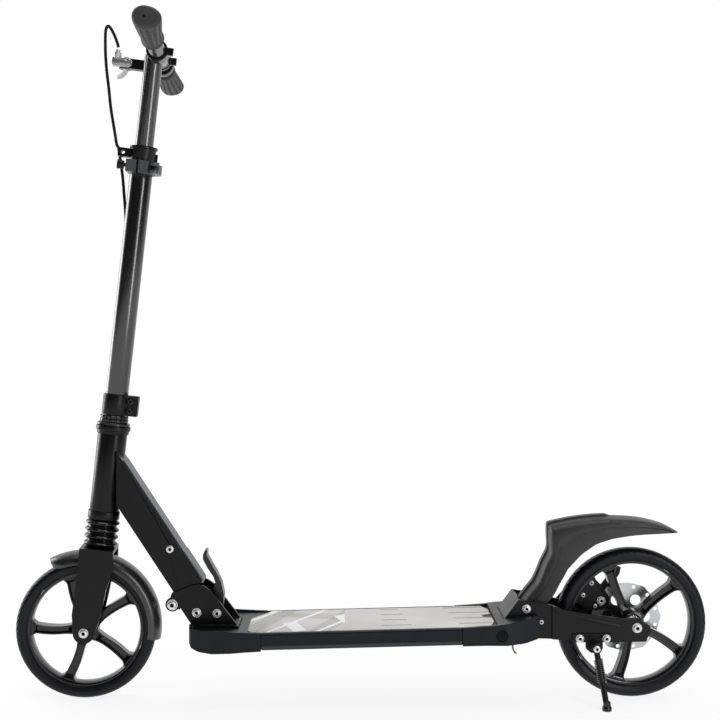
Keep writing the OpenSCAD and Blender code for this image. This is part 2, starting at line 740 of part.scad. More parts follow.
module quick_release_bolt()
    color([0.08, 0.08, 0.08]) on_axis() translate([0, qr_y, (qr_z0 + qr_z1) / 2]) rotate([0, 90, 0]) {
        translate([0, 0, -30]) cylinder(h = 30 + qr_x, r = 2.5);
        translate([0, 0, -30.5]) cylinder(h = 9, r1 = 6.5, r2 = 5.5);
        translate([0, 0, qr_x]) rotate([0, 90, 0])
            cylinder(h = qr_z1 - qr_z0 - 1.2, r = 3, center = true);
    }

// the blade wraps round behind the stem and ends on the far side
module quick_release_lever()
    color([0.33, 0.34, 0.36]) on_axis() difference() {
        union() {
            rod_z(qr_x, qr_y, 6.6, qr_z0 + 0.6, qr_z1 - 0.6);
            translate([0, 0, qr_z0 + 2]) linear_extrude(12.5) intersection() {
                difference() {
                    circle(27.5);
                    circle(22.5);
                }
                polygon([[0, 0], [26, -38], [70, -20], [70, 40], [22, 40]]);
            }
            translate([0, 0, qr_z0 + 2]) linear_extrude(12.5)
                polygon([[11.5, 19.5], [14, 24], [10, 34], [6, 36], [7, 29]]);
        }
        rod_z(qr_x, qr_y, 3 + run, qr_z0, qr_z1);
        translate([qr_x - 10, qr_y - 10, (qr_z0 + qr_z1) / 2 - 2.8]) cube([20, 12.8, 5.6]);
    }

module top_collar()
    color([0.08, 0.08, 0.08]) on_axis() difference() {
        union() {
            rod_z(0, 0, 17.2, 739.6, 757);
            rod_z(0, 0, 19, 757, 760.4);
            translate([-34, -7, 744]) cube([24, 14, 12]);
            translate([16, -3, 741]) cube([4, 6, 11]);
        }
        rod_z(0, 0, inner_r + 0.1, 738, 762);
        translate([-35, -1, 743]) cube([22, 2, 14]);
        rod_y(-27, 750, 2.6, -20, 20);
    }

// ---------------------------------------------------------------- handlebar
tube_low = 560;
module handlebar()
    color([0.10, 0.10, 0.11]) on_axis() difference() {
        union() {
            rod_z(0, 0, inner_r, tube_low, tee_z - 2);
            rod_y(bar_x, tee_z, 14, -27, 27);
            rod_y(bar_x, tee_z, 11, -bar_w / 2 + 6, bar_w / 2 - 6);
        }
        rod_z(0, 0, inner_r - 2, tube_low - 1, tee_z - 18);
        both_sides() rod_y(bar_x, tee_z, 9, 20, bar_w / 2);
    }

grip_len = 122;
module grip()
    difference() {
        union() {
            translate([0, -bar_w / 2 + grip_len, tee_z]) rotate([90, 0, 0]) rotate_extrude()
                polygon([
                    [0, 0], [14, 0], [15.5, 4], [14, 8], [14, 14], [15, 40], [16.2, 75],
                    [16.5, 100], [15.8, 116], [13, grip_len], [0, grip_len]
                ]);
            translate([4.6, -bar_w / 2 + grip_len - 8, tee_z]) rotate([90, 0, 0]) rotate_extrude()
                polygon([[0, 0], [12, 6], [14.6, 50], [17, 88], [16, 107], [12, 113.5], [0, 113.5]]);
        }
        rod_y(0, tee_z, 11 + eps, -bar_w / 2 + 6, 0);
        rod_y(0, tee_z, 1.6, -bar_w, -bar_w / 2 + 7);
    }

module grip_left() color([0.23, 0.23, 0.24]) on_bar() grip();
module grip_right() color([0.23, 0.23, 0.24]) on_bar() mirror([0, 1, 0]) grip();

// snap collars beside the tee, which free the two bar ends
module bar_fittings()
    color([0.12, 0.12, 0.12]) on_bar() both_sides() difference() {
        union() {
            rod_y(0, tee_z, 14.6, 27.2, 35);
            translate([8, 28, tee_z - 5]) cube([14, 6, 10]);
        }
        rod_y(0, tee_z, 11 + eps, 20, 40);
    }

adjuster_x = -63;
adjuster_y = brake_y - 5;
module lever_bracket()
    color([0.07, 0.07, 0.07]) on_bar() difference() {
        union() {
            rod_y(0, tee_z, 15.5, brake_y - 8, brake_y + 10);
            translate([-46, brake_y - 6, perch_z - 7]) cube([38, 14, 14]);
            rod_z(brake_x, brake_y + 6, 9, perch_z - 7, perch_z + 7);
            translate([-69, brake_y - 11, perch_z - 5]) cube([25, 14, 10]);
        }
        rod_y(0, tee_z, 11 + eps, 0, 200);
        rod_z(brake_x, brake_y + 6, 2.5 + eps, perch_z - 20, perch_z + 20);
        translate([-66, brake_y - 3, perch_z - 3.3]) cube([24, 33, 6.6]);
        rod_z(adjuster_x, adjuster_y, 2.5, perch_z - 20, perch_z + 20);
    }

module cable_adjuster()
    color("silver") on_bar() {
        rod_z(adjuster_x, adjuster_y, 5.5, perch_z + 5, perch_z + 13);
        rod_z(adjuster_x, adjuster_y, 3.6, perch_z + 13, perch_z + 17);
        rod_z(brake_x, brake_y + 6, 2.5, perch_z - 8, perch_z + 8);
        rod_z(brake_x, brake_y + 6, 4.6, perch_z + 7, perch_z + 10);
    }

module brake_lever()
    color("silver") on_bar() translate([0, 0, perch_z]) difference() {
        translate([0, 0, -2.7]) linear_extrude(5.4) polygon([
            [-58, brake_y + 6], [-55, brake_y + 1], [-49, brake_y + 1], [-46, brake_y + 6],
            [-47, brake_y + 20], [-51, brake_y + 40], [-57, brake_y + 70], [-64, brake_y + 96],
            [-72, brake_y + 112], [-77, brake_y + 110], [-71, brake_y + 94], [-64, brake_y + 70],
            [-59, brake_y + 42], [-57, brake_y + 22]
        ]);
        rod_z(brake_x, brake_y + 6, 2.5 + run, -20, 20);
    }

// ---------------------------------------------------------------- brake cable
module cable_bar() color([0.05, 0.05, 0.05]) cable(bar_route);
module cable_stem() color([0.05, 0.05, 0.05]) cable(stem_route);
module cable_frame() color([0.05, 0.05, 0.05]) cable(frame_route);
module cable_deck() color([0.05, 0.05, 0.05]) cable(deck_route);

// a bent wire hook under the rear cap
module deck_hook()
    color("silver") slab([
        [206.6, 86.29], [207.4, 72], [210, 66.6], [213.6, 65], [213.6, 67], [211, 68.4],
        [209.4, 73], [208.7, 86.38]
    ], -33, -28);

deck_extrusion();
deck_mat();
front_cap();
rear_cap();
fold_bracket();
fold_pin();
lock_pin();
rear_bracket();
rear_axle();
rear_spacers();
caliper_body();
brake_pads();
kickstand_bracket();
deck_bolts();
cable_deck();
deck_hook();
frame_tube();
tube_cover();
headset_cups();
headset_bearings();
tube_bolt();
cable_frame();
fold_lever();
steerer_tube();
headset_nuts();
stem_clamp();
clamp_bolts();
stem_tube();
height_bush();
height_collar();
top_collar();
quick_release_bolt();
cable_stem();
quick_release_lever();
fork();
front_axle();
front_spacers();
front_fender();
bellows();
suspension_spring();
front_rim();
front_tyre();
front_bearings();
rear_rim();
rear_tyre();
rear_bearings();
brake_disc();
handlebar();
grip_left();
grip_right();
bar_fittings();
lever_bracket();
cable_adjuster();
cable_bar();
brake_lever();
caliper_arm();
kickstand_leg();
kickstand_foot();
rear_fender();
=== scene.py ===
"""Looks of a folding kick scooter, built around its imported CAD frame."""
import json
import math
import bmesh
import bpy
from mathutils import Matrix, Vector


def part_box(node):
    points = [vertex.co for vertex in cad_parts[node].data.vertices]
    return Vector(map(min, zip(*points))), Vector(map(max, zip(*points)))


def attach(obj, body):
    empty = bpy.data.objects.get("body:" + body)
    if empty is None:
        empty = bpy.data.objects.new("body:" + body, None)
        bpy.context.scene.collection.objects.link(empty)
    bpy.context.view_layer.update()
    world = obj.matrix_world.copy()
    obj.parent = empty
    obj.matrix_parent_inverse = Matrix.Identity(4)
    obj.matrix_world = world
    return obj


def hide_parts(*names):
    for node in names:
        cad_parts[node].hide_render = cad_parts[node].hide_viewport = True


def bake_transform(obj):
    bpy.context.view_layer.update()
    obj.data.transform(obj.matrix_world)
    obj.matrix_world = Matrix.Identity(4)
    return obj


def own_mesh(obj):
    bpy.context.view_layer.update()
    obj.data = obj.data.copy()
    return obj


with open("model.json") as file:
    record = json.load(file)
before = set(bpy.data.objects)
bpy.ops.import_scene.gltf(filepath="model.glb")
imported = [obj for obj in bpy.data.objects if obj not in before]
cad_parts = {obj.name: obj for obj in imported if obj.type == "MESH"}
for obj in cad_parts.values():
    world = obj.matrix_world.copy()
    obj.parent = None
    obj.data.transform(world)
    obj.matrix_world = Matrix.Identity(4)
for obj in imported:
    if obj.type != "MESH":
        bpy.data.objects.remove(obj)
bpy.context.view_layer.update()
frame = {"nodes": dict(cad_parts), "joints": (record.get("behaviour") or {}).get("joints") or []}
joints = {joint["name"]: joint for joint in frame["joints"]}
TURN = 2 * math.pi
MM = 0.001


# ------------------------------------------------------------------ places, from the frame
def place(origin, x, y, z):
    """Takes millimetres in a local frame to metres in the shared one."""
    turn = Matrix((x, y, z)).transposed().to_4x4()
    return Matrix.Translation(origin) @ turn @ Matrix.Scale(MM, 4)


def steering_place():
    """Z runs up the steering axis from the ground, and the wheel and the bar lie along Y."""
    up = Vector(joints["steering"]["axis"]).normalized()
    across = Vector(joints["front_wheel_spin"]["axis"]).normalized()
    if across.y < 0:
        across.negate()
    on_axis = Vector(joints["steering"]["pos_m"])
    return place(on_axis - up * (on_axis.z / up.z), across.cross(up), across, up)


X, Y, Z = Vector((1, 0, 0)), Vector((0, 1, 0)), Vector((0, 0, 1))
WORLD = place(Vector(), X, Y, Z)
AXIS = steering_place()
FRONT_HUB = Matrix.Translation(Vector(joints["front_wheel_spin"]["pos_m"]) - AXIS.translation) @ AXIS
REAR_HUB = place(Vector(joints["rear_wheel_spin"]["pos_m"]), X, Y, Z)
TUBE_LEAN = math.radians(33.1)
TUBE = place(
    Vector(joints["fold"]["pos_m"]),
    Vector((math.cos(TUBE_LEAN), 0, math.sin(TUBE_LEAN))), Y,
    Vector((-math.sin(TUBE_LEAN), 0, math.cos(TUBE_LEAN))),
)


# ------------------------------------------------------------------ materials
def nodes_of(name):
    """A new material with its node tree and its shader."""
    material = bpy.data.materials.new(name)
    material.use_nodes = True
    tree = material.node_tree
    return material, tree, tree.nodes["Principled BSDF"]


def add(tree, kind, **values):
    """A new shader node, with some of its inputs or settings set by name."""
    node = tree.nodes.new(kind)
    for key, value in values.items():
        if key in node.inputs:
            node.inputs[key].default_value = value
        else:
            setattr(node, key, value)
    return node


def noise(tree, scale, detail=3.0, stretch=(1, 1, 1)):
    """A noise of that many cells a metre, in the object's own space."""
    where = add(tree, "ShaderNodeTexCoord")
    mapping = add(tree, "ShaderNodeMapping", Scale=stretch)
    tree.links.new(where.outputs["Object"], mapping.inputs["Vector"])
    made = add(tree, "ShaderNodeTexNoise", Scale=scale, Detail=detail)
    tree.links.new(mapping.outputs["Vector"], made.inputs["Vector"])
    return made.outputs["Fac"]


def ranged(tree, source, low, high, start=0.3, stop=0.7):
    """Maps start to stop, by default the middle of a noise, onto low to high."""
    made = add(tree, "ShaderNodeMapRange")
    for index, value in enumerate((start, stop, low, high), 1):
        made.inputs[index].default_value = value
    tree.links.new(source, made.inputs[0])
    return made.outputs[0]


def mixed(tree, factor, first, second):
    """A blend of two colours, each a tuple or the output of a node."""
    made = add(tree, "ShaderNodeMix", data_type="RGBA")
    for index, value in ((6, first), (7, second)):
        if isinstance(value, tuple):
            made.inputs[index].default_value = (*value, 1)
        else:
            tree.links.new(value, made.inputs[index])
    tree.links.new(factor, made.inputs[0])
    return made.outputs[2]


def bumped(tree, shader, height, distance):
    """Raises the surface by a height output, by up to that many metres."""
    bump = add(tree, "ShaderNodeBump", Strength=1.0, Distance=distance)
    tree.links.new(height, bump.inputs["Height"])
    tree.links.new(bump.outputs["Normal"], shader.inputs["Normal"])


def scale_colour(colour, factor):
    """A colour made lighter or darker."""
    return tuple(min(1.0, part * factor) for part in colour)


def surface(name, colour, roughness, metallic=0.0, grain=1500.0, relief=0.02, coat=0.0,
            mottle=0.18, stretch=(1, 1, 1), specular=0.22):
    """One moulded, painted or metal finish: fine grain, uneven gloss and slightly uneven colour."""
    material, tree, shader = nodes_of(name)
    uneven = ranged(tree, noise(tree, 38), 0.0, 1.0)
    tone = mixed(tree, uneven, scale_colour(colour, 1 - mottle), scale_colour(colour, 1 + mottle))
    tree.links.new(tone, shader.inputs["Base Color"])
    fine = noise(tree, grain, 2.0, stretch)
    gloss = ranged(tree, noise(tree, 55, 4.0), roughness * 0.92, min(1.0, roughness * 1.1))
    tree.links.new(gloss, shader.inputs["Roughness"])
    bumped(tree, shader, fine, relief * MM)
    shader.inputs["Metallic"].default_value = metallic
    shader.inputs["Coat Weight"].default_value = coat
    shader.inputs["Coat Roughness"].default_value = 0.12
    shader.inputs["Specular IOR Level"].default_value = specular
    return material


def stripes(tree, angle, count, phase, width):
    """1 inside stripes across that direction of the object's X and Y, count of them to a metre."""
    where = add(tree, "ShaderNodeTexCoord")
    along = add(tree, "ShaderNodeVectorMath", operation="DOT_PRODUCT")
    turn = math.radians(angle)
    along.inputs[1].default_value = (math.cos(turn) * count, math.sin(turn) * count, 0)
    tree.links.new(where.outputs["Object"], along.inputs[0])
    offset = add(tree, "ShaderNodeMath", operation="ADD")
    offset.inputs[1].default_value = phase
    tree.links.new(along.outputs["Value"], offset.inputs[0])
    part = add(tree, "ShaderNodeMath", operation="FRACT")
    tree.links.new(offset.outputs[0], part.inputs[0])
    inside = add(tree, "ShaderNodeMath", operation="LESS_THAN")
    inside.inputs[1].default_value = width
    tree.links.new(part.outputs[0], inside.inputs[0])
    return inside.outputs[0]


def both(tree, first, second, operation="MULTIPLY"):
    """1 where both masks are 1, or with MAXIMUM where either is."""
    made = add(tree, "ShaderNodeMath", operation=operation)
    tree.links.new(first, made.inputs[0])
    tree.links.new(second, made.inputs[1])
    return made.outputs[0]


def mat_print():
    """The deck's printed surface: slanted light strokes, hatching and long lines over fine grit."""
    material, tree, shader = nodes_of("mat_print")
    front_half = stripes(tree, 0, 1, 0.62, 0.6)
    rear_half = stripes(tree, 0, 1, -0.03, 0.5)
    strokes = both(tree, stripes(tree, 18, 13, 0.35, 0.24), stripes(tree, -62, 8, 0.3, 0.45))
    strokes = both(tree, strokes, stripes(tree, -30, 17, 0.3, 0.10), "MAXIMUM")
    strokes = both(tree, strokes, front_half)
    hatch = both(tree, stripes(tree, 62, 260, 0, 0.40), stripes(tree, -20, 11, 0.45, 0.30))
    hatch = both(tree, hatch, both(tree, stripes(tree, 35, 320, 0, 0.35), stripes(tree, 70, 9, 0.1, 0.25)),
                 "MAXIMUM")
    lines = both(tree, both(tree, stripes(tree, 90, 30, 0.35, 0.10), stripes(tree, 8, 6.3, 0.2, 0.6)),
                 rear_half)
    tone = mixed(tree, ranged(tree, noise(tree, 7), 0, 1), (0.56, 0.55, 0.52), (0.74, 0.73, 0.70))
    tone = mixed(tree, both(tree, hatch, front_half), tone, (0.30, 0.30, 0.30))
    tone = mixed(tree, lines, tone, (0.16, 0.16, 0.16))
    tone = mixed(tree, strokes, tone, (0.92, 0.92, 0.92))
    tree.links.new(tone, shader.inputs["Base Color"])
    gloss = ranged(tree, noise(tree, 60), 0.42, 0.62)
    tree.links.new(gloss, shader.inputs["Roughness"])
    bumped(tree, shader, noise(tree, 1900, 2.0), 0.12 * MM)
    return material


FINISHES = {
    "alloy_black": dict(colour=(0.0050, 0.0047, 0.0047), roughness=0.30, grain=900, relief=0.008),
    "tube_polish": dict(colour=(0.006, 0.006, 0.007), roughness=0.22, grain=700, relief=0.0, coat=0.2,
                        specular=0.85),
    "steel_black": dict(colour=(0.0055, 0.0048, 0.0050), roughness=0.34, grain=1100),
    "deck_paint": dict(colour=(0.006, 0.008, 0.013), roughness=0.30, metallic=0.1, grain=1300,
                       relief=0.015),
    "cap_plastic": dict(colour=(0.006, 0.007, 0.010), roughness=0.36, grain=2600, relief=0.03),
    "fender_plastic": dict(colour=(0.028, 0.028, 0.030), roughness=0.40, grain=2200, relief=0.06,
                           specular=0.35),
    "fender_gloss": dict(colour=(0.014, 0.014, 0.015), roughness=0.30, grain=2200, relief=0.0,
                         specular=0.8),
    "rim_plastic": dict(colour=(0.006, 0.006, 0.0065), roughness=0.17, grain=1900, specular=0.5),
    "tyre_rubber": dict(colour=(0.006, 0.0065, 0.009), roughness=0.36, grain=1600, relief=0.04),
    "grip_rubber": dict(colour=(0.040, 0.040, 0.041), roughness=0.55, grain=3200, relief=0.06),
    "soft_rubber": dict(colour=(0.005, 0.005, 0.0055), roughness=0.18, grain=1200, relief=0.015,
                        specular=0.5),
    "zinc": dict(colour=(0.80, 0.80, 0.81), roughness=0.42, metallic=0.80, grain=1800, mottle=0.12,
                 specular=0.8),
    "bearing_steel": dict(colour=(0.55, 0.55, 0.57), roughness=0.22, metallic=1.0, grain=900,
                          relief=0.008, mottle=0.06),
    "disc_steel": dict(colour=(0.50, 0.51, 0.52), roughness=0.26, metallic=1.0, grain=500, relief=0.01,
                       mottle=0.06, stretch=(1, 6, 1)),
    "lever_alloy": dict(colour=(0.27, 0.27, 0.285), roughness=0.30, metallic=1.0, grain=1400,
                        relief=0.015, mottle=0.05),
    "perch_alloy": dict(colour=(0.42, 0.42, 0.43), roughness=0.36, metallic=0.9, grain=1400,
                        relief=0.03, mottle=0.12, specular=0.5),
    "grey_plastic": dict(colour=(0.060, 0.062, 0.068), roughness=0.34, grain=2400, relief=0.05,
                         specular=0.4),
    "cover_print": dict(colour=(0.085, 0.096, 0.115), roughness=0.36, grain=1200, relief=0.01),
    "lever_black": dict(colour=(0.016, 0.016, 0.018), roughness=0.30, grain=1800, relief=0.03,
                        specular=0.4),
    "black_plastic": dict(colour=(0.005, 0.005, 0.0055), roughness=0.28, grain=2400, relief=0.03),
    "pad_compound": dict(colour=(0.030, 0.026, 0.023), roughness=0.85, grain=900, relief=0.2),
    "cable_black": dict(colour=(0.006, 0.006, 0.0065), roughness=0.33),
    "spring_steel": dict(colour=(0.10, 0.10, 0.105), roughness=0.30, metallic=1.0),
    "spring_black": dict(colour=(0.010, 0.010, 0.011), roughness=0.22, specular=0.6),
    # near-black paint for painted shade: discs put into holes and onto socket floors
    "hole_dark": dict(colour=(0.003, 0.003, 0.003), roughness=0.8),
}
MATERIALS = {name: surface(name, **finish) for name, finish in FINISHES.items()}
MATERIALS["deck_print"] = mat_print()


# ------------------------------------------------------------------ mesh tools
WELD_GAP = 2e-6


def piece(name, points, faces, where, material, body, slot, replaces=(), sharp=35):
    """One new piece, from points in millimetres in a local frame."""
    mesh = bpy.data.meshes.new(name)
    mesh.from_pydata([where @ Vector(p) for p in points], [], faces)
    mesh.validate()
    mesh.update()
    made = bpy.data.objects.new(name, mesh)
    bpy.context.scene.collection.objects.link(made)
    finish_mesh(made, sharp)
    mesh.materials.append(MATERIALS[material])
    if body:
        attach(made, body)
    if replaces:
        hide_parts(*replaces)
    return made


def finish_mesh(made, sharp):
    """Welds a mesh, turns all its faces outward and keeps only the sharp edges sharp."""
    work = bmesh.new()
    work.from_mesh(made.data)
    bmesh.ops.remove_doubles(work, verts=work.verts, dist=WELD_GAP / 2)
    bmesh.ops.recalc_face_normals(work, faces=work.faces)
    work.to_mesh(made.data)
    work.free()
    made.data.polygons.foreach_set("use_smooth", [True] * len(made.data.polygons))
    made.data.set_sharp_from_angle(angle=math.radians(sharp))


def rings(sections, closed_path=False):
    """Points and faces of a skin over equal closed sections along a path, capped if it is open."""
    count = len(sections[0])
    points = [point for section in sections for point in section]
    last = len(sections) if closed_path else len(sections) - 1
    faces = []
    for i in range(last):
        a, b = i * count, (i + 1) % len(sections) * count
        for k in range(count):
            n = (k + 1) % count
            faces.append((a + k, a + n, b + n, b + k))
    if not closed_path:
        faces.append(tuple(range(count)))
        faces.append(tuple(len(points) - 1 - k for k in range(count)))
    return points, faces


def lathe(profile, steps, shape=None, about="Y"):
    """Turns a closed outline of (radius, along) pairs about Y or Z. shape moves a point's radius."""
    sections = []
    for i in range(steps):
        angle = TURN * i / steps
        section = []
        for radius, along in profile:
            r = radius + (shape(angle, along, radius) if shape else 0.0)
            if about == "Y":
                section.append((r * math.cos(angle), along, r * math.sin(angle)))
            else:
                section.append((r * math.cos(angle), r * math.sin(angle), along))
        sections.append(section)
    return rings(sections, closed_path=True)


def moved(part, x=0.0, y=0.0, z=0.0):
    """The same points and faces, shifted."""
    points, faces = part
    return [(px + x, py + y, pz + z) for px, py, pz in points], faces


def rounded(outline, radius):
    """An outline with its corners turned into short curves."""
    steps = 4
    result = []
    for i, corner in enumerate(outline):
        here = Vector(corner)
        before, after = Vector(outline[i - 1]), Vector(outline[(i + 1) % len(outline)])
        back, on = before - here, after - here
        reach = min(radius, back.length * 0.45, on.length * 0.45)
        first, last = here + back.normalized() * reach, here + on.normalized() * reach
        for k in range(steps + 1):
            t = k / steps
            result.append(tuple((1 - t) ** 2 * first + 2 * t * (1 - t) * here + t * t * last))
    return result


def curve_through(points, per_span=6):
    """A smooth line through points in space or in a plane."""
    points = [Vector(p) for p in points]
    padded = [2 * points[0] - points[1]] + points + [2 * points[-1] - points[-2]]
    line = []
    for i in range(1, len(padded) - 2):
        a, b, c, d = padded[i - 1:i + 3]
        for k in range(per_span):
            t = k / per_span
            line.append(0.5 * (2 * b + (c - a) * t + (2 * a - 5 * b + 4 * c - d) * t * t
                               + (3 * b - a - 3 * c + d) * t ** 3))
    return line + [points[-1]]


def swept(line, radius, sides=12):
    """A round bar along a line in space, with rings that don't twist."""
    line = [Vector(p) for p in line]
    sections, side = [], None
    for i, here in enumerate(line):
        ahead = (line[min(i + 1, len(line) - 1)] - line[max(i - 1, 0)]).normalized()
        if side is None:
            side = ahead.cross(Y if abs(ahead.y) < 0.9 else X).normalized()
        side = (side - ahead * side.dot(ahead)).normalized()
        other = ahead.cross(side)
        sections.append([
            here + radius * (side * math.cos(TURN * k / sides) + other * math.sin(TURN * k / sides))
            for k in range(sides)
        ])
    return rings(sections)


def merged(*parts):
    """Several parts, each its points and faces, as one."""
    points, faces = [], []
    for part_points, part_faces in parts:
        start = len(points)
        points.extend(part_points)
        faces.extend(tuple(start + k for k in face) for face in part_faces)
    return points, faces


def bevelled(made, width):
    """Welds and rounds the edges of a piece or of a CAD node, without changing its mesh."""
    weld = made.modifiers.new("weld", "WELD")
    weld.merge_threshold = WELD_GAP
    bevel = made.modifiers.new("bevel", "BEVEL")
    bevel.width = width * MM
    bevel.segments = 3
    bevel.limit_method = "ANGLE"
    bevel.angle_limit = math.radians(30)
    bevel.harden_normals = True
    bevel.use_clamp_overlap = True


# ------------------------------------------------------------------ wheels
TREAD_BLOCKS = 64
TREAD_PITCH = TURN / TREAD_BLOCKS
TYRE_HALF = (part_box("rear_tyre")[1].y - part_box("rear_tyre")[0].y) / 2 / MM
DISC_Y = 29.0  # the brake disc's inner face, where the rear hub ends
SPOKES = 5


def wheel_radius(node):
    """Half the height of a wheel's node, in millimetres."""
    low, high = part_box(node)
    return (high.z - low.z) / 2 / MM


def tyre_profile(outer):
    """Closed section of a tyre, seat to crown, as (radius, along) in millimetres."""
    seat, side = outer - 16.8, TYRE_HALF - 0.3
    half = [(seat, 11.2), (seat + 1.6, 12.2), (seat + 2.2, 13.4), (seat + 4, 13.9), (seat + 6, 14.4),
            (seat + 8, side)]
    for k in range(1, 15):
        angle = math.pi / 2 * k / 14
        half.append((outer - 8.4 + 8.4 * math.sin(angle) ** 0.9, side * math.cos(angle) ** 0.62))
    return half + [(r, -y) for r, y in reversed(half[:-1])]


def tread(outer):
    """Curved grooves across the shoulders and a row of short dots beside the crown."""
    def shape(angle, along, radius):
        reach = abs(along)
        phase = (angle + 0.012 * reach) / TREAD_PITCH + (0.5 if along > 0 else 0.0)
        if radius < outer - 7.5:
            return 0.0
        if 5.0 < reach < 14.4 and abs(phase % 1.0 - 0.5) < 0.10:
            return -1.0
        if 1.0 < reach < 3.4 and abs((phase + 0.5) % 1.0 - 0.5) < 0.14:
            return -0.8
        return 0.0
    return shape


def tyre(name, node, where, body):
    """A solid rubber tyre with its tread."""
    outer = wheel_radius(node)
    points, faces = lathe(tyre_profile(outer), TREAD_BLOCKS * 9, tread(outer))
    piece(name, points, faces, where, "tyre_rubber", body, "tyre_rubber", (node,), 40)


def spoke(inner, angle):
    """A hollowed spoke from the hub to the rim, flared at both ends."""
    hub_end = 13.0
    sections = []
    steps = 22
    for k in range(steps + 1):
        t = k / steps
        reach = hub_end + (inner + 1.2 - hub_end) * t
        flare = 3.2 * max(0.0, 1 - t / 0.30) ** 2 + 7.5 * max(0.0, (t - 0.84) / 0.16) ** 2
        wide = 5.0 + 1.6 * t + flare
        high = 9.2 - 0.6 * t
        sunk = 6.2 * min(1.0, max(0.0, (t - 0.10) / 0.07), max(0.0, (0.93 - t) / 0.07))
        bow = 3.0 * math.sin(math.pi * t)
        rib = min(wide - 0.6, 1.9)
        half = [(-wide, -high + 0.8), (-wide + 0.8, -high), (-wide + rib, -high),
                (-wide + rib + 0.6, -high + sunk), (wide - rib - 0.6, -high + sunk),
                (wide - rib, -high), (wide - 0.8, -high), (wide, -high + 0.8)]
        ring = half + [(-x, -y) for x, y in half]
        sections.append([(reach, y, bow + x) for x, y in ring])
    points, faces = rings(sections)
    cos, sin = math.cos(angle), math.sin(angle)
    return [(x * cos - z * sin, y, x * sin + z * cos) for x, y, z in points], faces


def rim(name, node, where, body, far, first):
    """Rim ring with a bead lip, five hollow spokes and a stepped hub with a bearing seat each side."""
    outer = wheel_radius(node)
    inner = outer - 4
    ring = [(inner, -9.6), (inner + 0.5, -10.8), (inner + 1.6, -11.4), (outer - 0.2, -11.4),
            (outer - 0.2, 11.4), (inner + 1.6, 11.4), (inner + 0.5, 10.8), (inner, 9.6),
            (inner - 0.9, 5), (inner - 1.1, 0), (inner - 0.9, -5)]
    hub = [(11.1, -14), (12.6, -14), (13.2, -13.4), (13.4, -10.6), (16.4, -10.2), (17, -9.4), (17, 9.4),
           (16.4, 10.2), (13.6, 11), (13.6, far - 0.8), (12.8, far - 0.1), (11.1, far - 0.1),
           (11.1, far - 7), (7, far - 7), (7, -7), (11.1, -7)]
    parts = [lathe(ring, 144), lathe(hub, 72)]
    for k in range(SPOKES):
        parts.append(spoke(inner, first + TURN * k / SPOKES))
    points, faces = merged(*parts)
    piece(name, points, faces, where, "rim_plastic", body, "rim_plastic", (node,), 32)


SPOKE_TURN = math.radians(40)
tyre("front_tyre_rubber", "front_tyre", FRONT_HUB, "front_wheel")
tyre("rear_tyre_rubber", "rear_tyre", REAR_HUB, "rear_wheel")
rim("front_wheel_rim", "front_rim", FRONT_HUB, "front_wheel", 14.0, SPOKE_TURN)
rim("rear_wheel_rim", "rear_rim", REAR_HUB, "rear_wheel", DISC_Y, SPOKE_TURN)


def bellows():
    """A rubber boot of four folds over the fork's slider."""
    back = AXIS.inverted()
    heights = [(back @ v.co).z for v in frame["nodes"]["bellows"].data.vertices]
    bottom, top = min(heights) + 0.15, max(heights) - 0.15
    outer, folds, steps = [], 4, 72
    for k in range(steps + 1):
        t = k / steps
        wave = 0.5 - 0.5 * math.cos(TURN * folds * t)
        outer.append((18.9 + 4.3 * wave ** 0.75, bottom + (top - bottom) * t))
    inner = [(r - 2.2, z) for r, z in reversed(outer)]
    points, faces = lathe(outer + inner, 72, about="Z")
    made = piece("fork_boot", points, faces, AXIS, "soft_rubber", "stem", "soft_rubber", ("bellows",), 50)
    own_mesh(made)


def coil(radius, wire, bottom, top, turns):
    """Points and faces of a coil spring up Z, its end turns closed."""
    steps = 16
    line = []
    for k in range(turns * steps + 1):
        t = k / (turns * steps)
        rise = min(1.0, max(0.0, (t - 0.08) / 0.84))
        climb = bottom + wire + (top - bottom - 2 * wire) * rise
        angle = TURN * turns * t
        line.append((radius * math.cos(angle), radius * math.sin(angle), climb))
    return swept(line, wire, 8)


def fork_spring():
    """The coil inside the fork."""
    back = AXIS.inverted()
    heights = [(back @ v.co).z for v in frame["nodes"]["suspension_spring"].data.vertices]
    bottom, top = min(heights), max(heights)
    points, faces = coil(9.25, 1.2, bottom, top, 8)
    made = piece("fork_spring", points, faces, AXIS, "spring_steel", "stem", "zinc",
                 ("suspension_spring",), 60)
    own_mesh(made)


bellows()
fork_spring()


# ------------------------------------------------------------------ fenders
FENDER_R, FENDER_DROP, FENDER_WIDE = 105.4, 16.9, 23.4
FENDER_MID = (-3, 0, 2)


